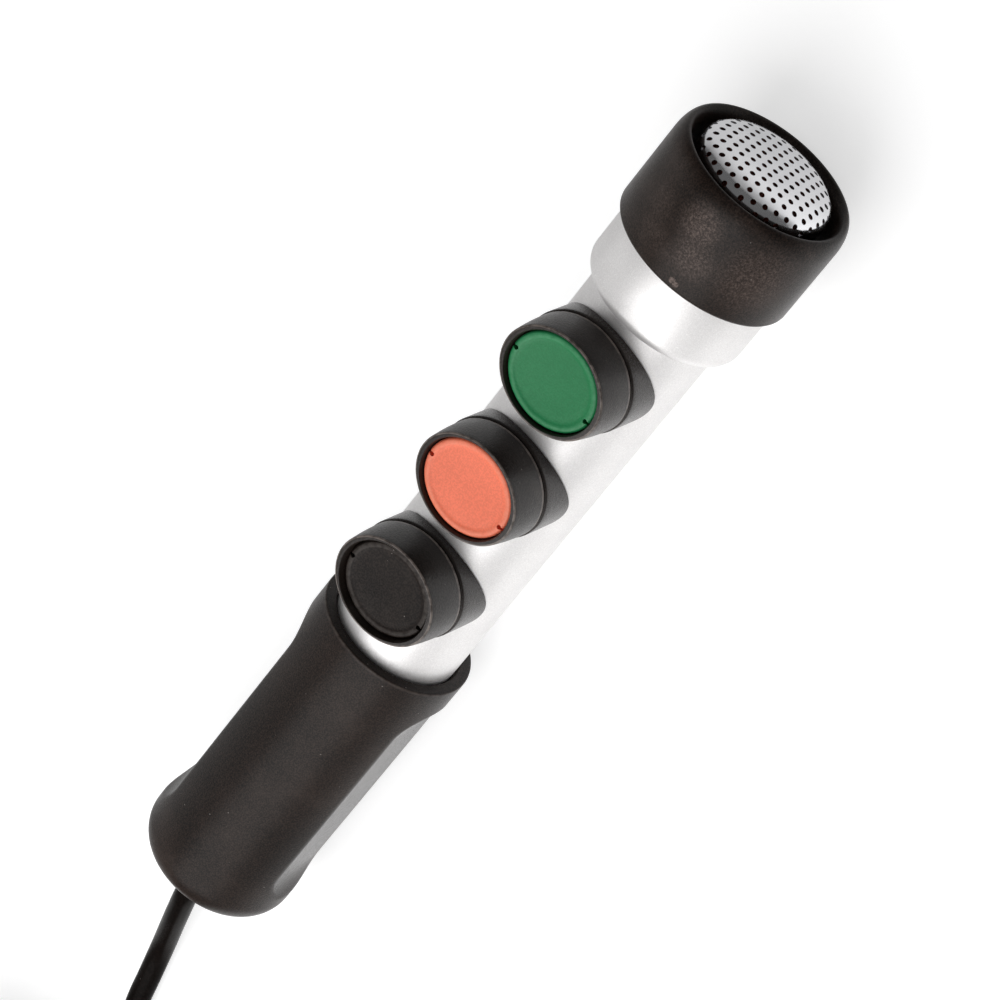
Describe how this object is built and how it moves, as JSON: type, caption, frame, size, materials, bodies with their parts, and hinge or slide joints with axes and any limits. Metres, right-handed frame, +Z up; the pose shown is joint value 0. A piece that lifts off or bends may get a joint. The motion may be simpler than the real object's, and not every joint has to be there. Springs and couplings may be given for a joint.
{
  "type": "microphone",
  "caption": "Hand-held microphone: silver tube with press buttons, black rubber grip with finger flats, rubber-ringed head with a steel grille, and a coiled lead.",
  "frame": {"origin": "on the table, under the middle of the microphone's length, without its cord", "axes": "+X runs along the microphone to its head, +Z is up and the buttons face up; the tube tilts 0.61 degrees, head up, as it rests on its head ring and grip"},
  "size_m": [0.4005, 0.0704, 0.0512],
  "materials": {
    "silver": "satin silver with a fine sparkle",
    "bright_steel": "polished",
    "rubber": "matte, fine grain",
    "black_plastic": "matte, lightly worn edges",
    "brass": "plain turned",
    "foam": "open-cell foam",
    "capsule_metal": "plain",
    "board_green": "lacquered board",
    "cord_lead": "smooth insulation",
    "capsule_lead": "smooth insulation",
    "cap_black": "matte",
    "cap_red": "matte coral red",
    "cap_green": "matte green",
    "cord": "smooth sheath",
    "strap": "woven strap"
  },
  "bodies": {
    "microphone": {"body_tube": "silver", "head_collar": "silver", "head_ring": "rubber", "grille": "bright_steel", "foam_disc": "foam", "capsule": "capsule_metal", "capsule_mount": "rubber", "grip_core": "black_plastic", "grip_sleeve": "rubber", "strain_relief": "rubber", "cord_clamp": "black_plastic", "clamp_screw_right": "brass", "clamp_screw_left": "brass", "cord_inner": "cord", "cord_lead_1": "cord_lead", "cord_lead_2": "cord_lead", "cord_lead_3": "cord_lead", "capsule_lead_1": "capsule_lead", "capsule_lead_2": "capsule_lead", "switch_board": "board_green", "saddle_black": "black_plastic", "bezel_black": "black_plastic", "nut_black": "brass", "switch_black": "black_plastic", "spring_black": "bright_steel", "saddle_red": "black_plastic", "bezel_red": "black_plastic", "nut_red": "brass", "switch_red": "black_plastic", "spring_red": "bright_steel", "saddle_green": "black_plastic", "bezel_green": "black_plastic", "nut_green": "brass", "switch_green": "black_plastic", "spring_green": "bright_steel", "cord_free": "cord", "cord_coil": "cord", "cord_tail": "cord", "coil_tie": "strap", "plug_boot": "rubber", "plug_body": "black_plastic", "plug_shell": "bright_steel", "plug_insert": "black_plastic", "plug_pin_1": "brass", "plug_pin_2": "brass", "plug_pin_3": "brass", "plug_pin_4": "brass", "plug_pin_5": "brass"},
    "button_black": {"cap_black": "cap_black", "plunger_black": "black_plastic"},
    "button_red": {"cap_red": "cap_red", "plunger_red": "black_plastic"},
    "button_green": {"cap_green": "cap_green", "plunger_green": "black_plastic"}
  },
  "joints": [
    {"name": "black_button_press", "type": "slide", "parent": "microphone", "child": "button_black", "axis": [0.0107, 0, -0.9999], "range_m": [0, 0.002], "stiffness_N_per_m": 600, "springref_m": -0.001, "deforming": ["spring_black"]},
    {"name": "red_button_press", "type": "slide", "parent": "microphone", "child": "button_red", "axis": [0.0107, 0, -0.9999], "range_m": [0, 0.002], "stiffness_N_per_m": 600, "springref_m": -0.001, "deforming": ["spring_red"]},
    {"name": "green_button_press", "type": "slide", "parent": "microphone", "child": "button_green", "axis": [0.0107, 0, -0.9999], "range_m": [0, 0.002], "stiffness_N_per_m": 600, "springref_m": -0.001, "deforming": ["spring_green"]}
  ]
}
